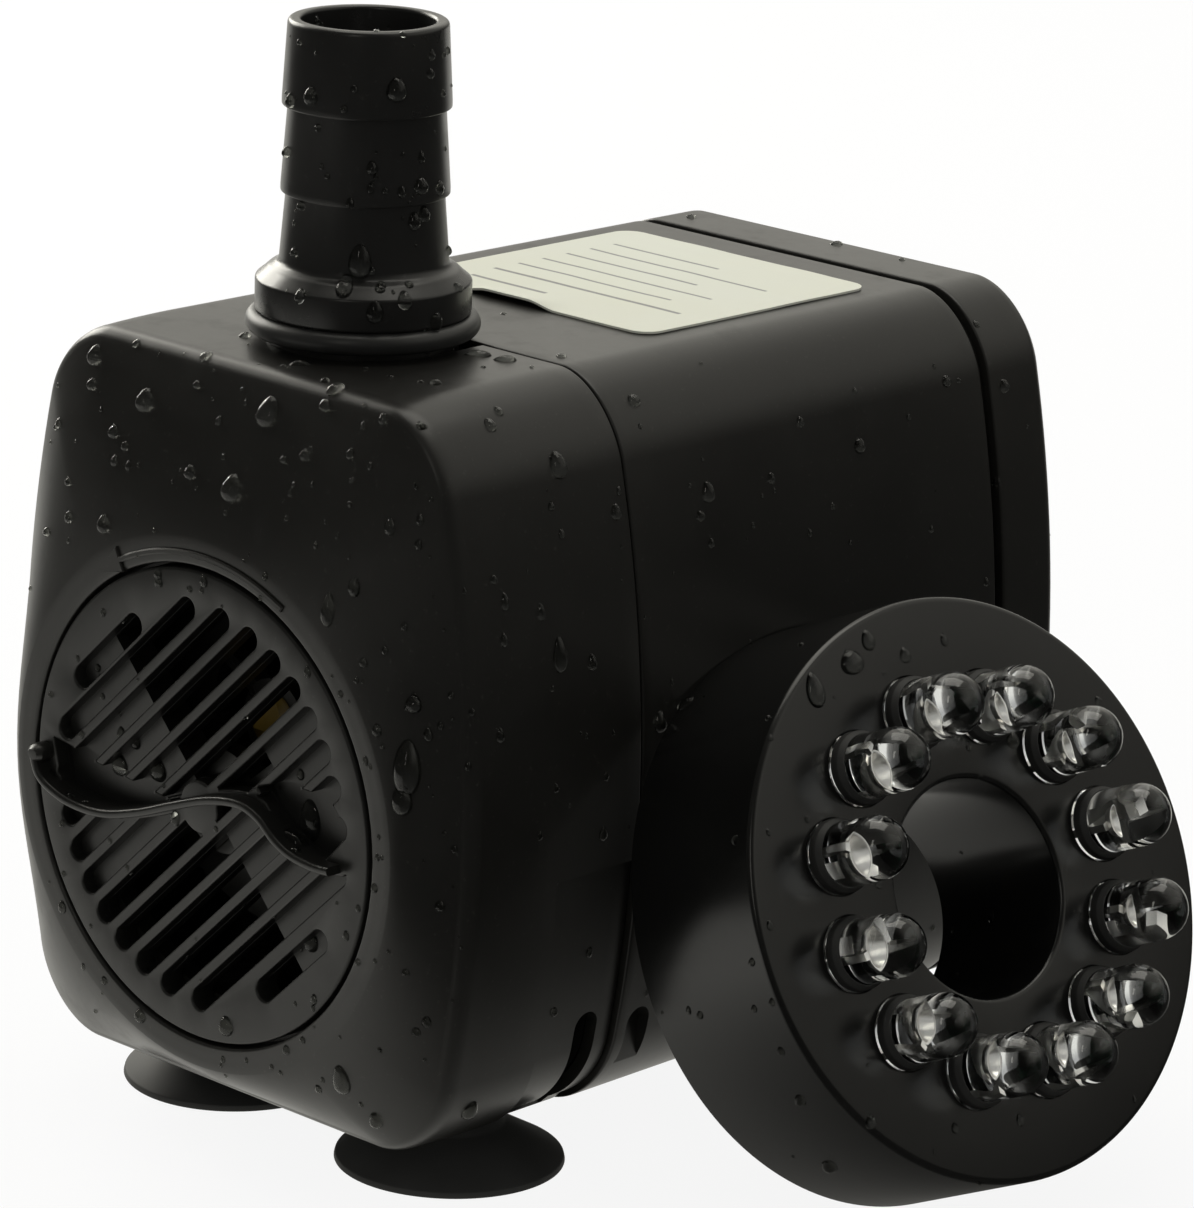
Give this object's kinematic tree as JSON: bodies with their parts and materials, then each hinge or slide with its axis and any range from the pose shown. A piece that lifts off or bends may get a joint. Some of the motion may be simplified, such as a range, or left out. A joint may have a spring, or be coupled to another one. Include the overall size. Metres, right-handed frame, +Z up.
{
  "type": "submersible fountain pump",
  "caption": "Small submersible fountain pump with a turning slotted intake dial, upright barbed hose nozzle, suction cups and a separate ring of clear lamps leaning on its side.",
  "frame": {"origin": "the point of the table right under the outlet's axis", "axes": "+Z up along the outlet, -Y out of the front intake, +X towards the light ring"},
  "size_m": [0.085, 0.0763, 0.0884],
  "materials": {
    "casing_plastic": "satin black moulded plastic",
    "dial_plastic": "satin black moulded plastic",
    "nozzle_plastic": "semi-gloss black plastic",
    "black_rubber": "matte black rubber",
    "amber_rubber": "amber rubber bush",
    "ceramic_shaft": "polished white ceramic",
    "rotor_nylon": "natural nylon",
    "ferrite": "sintered ferrite magnet",
    "lamination_steel": "stacked steel sheets",
    "bobbin_nylon": "white nylon",
    "copper": "enamelled copper wire",
    "potting": "cast resin",
    "label_film": "off-white plastic film, bare",
    "ring_plastic": "semi-gloss black plastic",
    "board_laminate": "glass-fibre board",
    "clear_epoxy": "clear epoxy lamp body",
    "tinned_wire": "tinned lead frame"
  },
  "bodies": {
    "pump": {"motor_housing": "casing_plastic", "rear_cover": "casing_plastic", "cable_gland": "black_rubber", "chamber_cover": "casing_plastic", "chamber_seal": "black_rubber", "rotor_shaft": "ceramic_shaft", "shaft_bush_front": "amber_rubber", "shaft_bush_rear": "black_rubber", "stator_core": "lamination_steel", "bobbin_left": "bobbin_nylon", "bobbin_right": "bobbin_nylon", "winding_left": "copper", "winding_right": "copper", "potting_resin": "potting", "rating_label": "label_film", "suction_cup_rear_left": "black_rubber", "suction_cup_rear_right": "black_rubber"},
    "intake_housing": {"front_shell": "casing_plastic", "suction_cup_front_left": "black_rubber", "suction_cup_front_right": "black_rubber"},
    "dial": {"flow_dial": "dial_plastic"},
    "rotor": {"impeller": "rotor_nylon", "rotor_magnet": "ferrite"},
    "nozzle": {"hose_nozzle": "nozzle_plastic", "nozzle_seal": "black_rubber"},
    "light_ring": {"ring_housing": "ring_plastic", "ring_board": "board_laminate", "ring_resin": "potting", "ring_back": "ring_plastic", "ring_gland": "black_rubber", "lamp_01": "clear_epoxy", "lamp_02": "clear_epoxy", "lamp_03": "clear_epoxy", "lamp_04": "clear_epoxy", "lamp_05": "clear_epoxy", "lamp_06": "clear_epoxy", "lamp_07": "clear_epoxy", "lamp_08": "clear_epoxy", "lamp_09": "clear_epoxy", "lamp_10": "clear_epoxy", "lamp_11": "clear_epoxy", "lamp_12": "clear_epoxy", "lamp_leads": "tinned_wire", "lamp_seals": "black_rubber"}
  },
  "joints": [
    {"name": "intake_housing_slide", "type": "slide", "parent": "pump", "child": "intake_housing", "axis": [0, -1, 0], "range_m": [0, 0.03]},
    {"name": "dial_turn", "type": "hinge", "parent": "intake_housing", "child": "dial", "pos_m": [0, -0.0155, 0.0291], "axis": [0, -1, 0], "range_deg": [0, 90]},
    {"name": "rotor_spin", "type": "hinge", "parent": "pump", "child": "rotor", "pos_m": [0, 0.01, 0.0345], "axis": [0, 1, 0], "continuous": true},
    {"name": "nozzle_pull", "type": "slide", "parent": "pump", "child": "nozzle", "axis": [0, 0, 1], "range_m": [0, 0.015]},
    {"name": "light_ring_slide", "type": "slide", "parent": "pump", "child": "light_ring", "axis": [1, 0, 0], "range_m": [0, 0.04]}
  ]
}
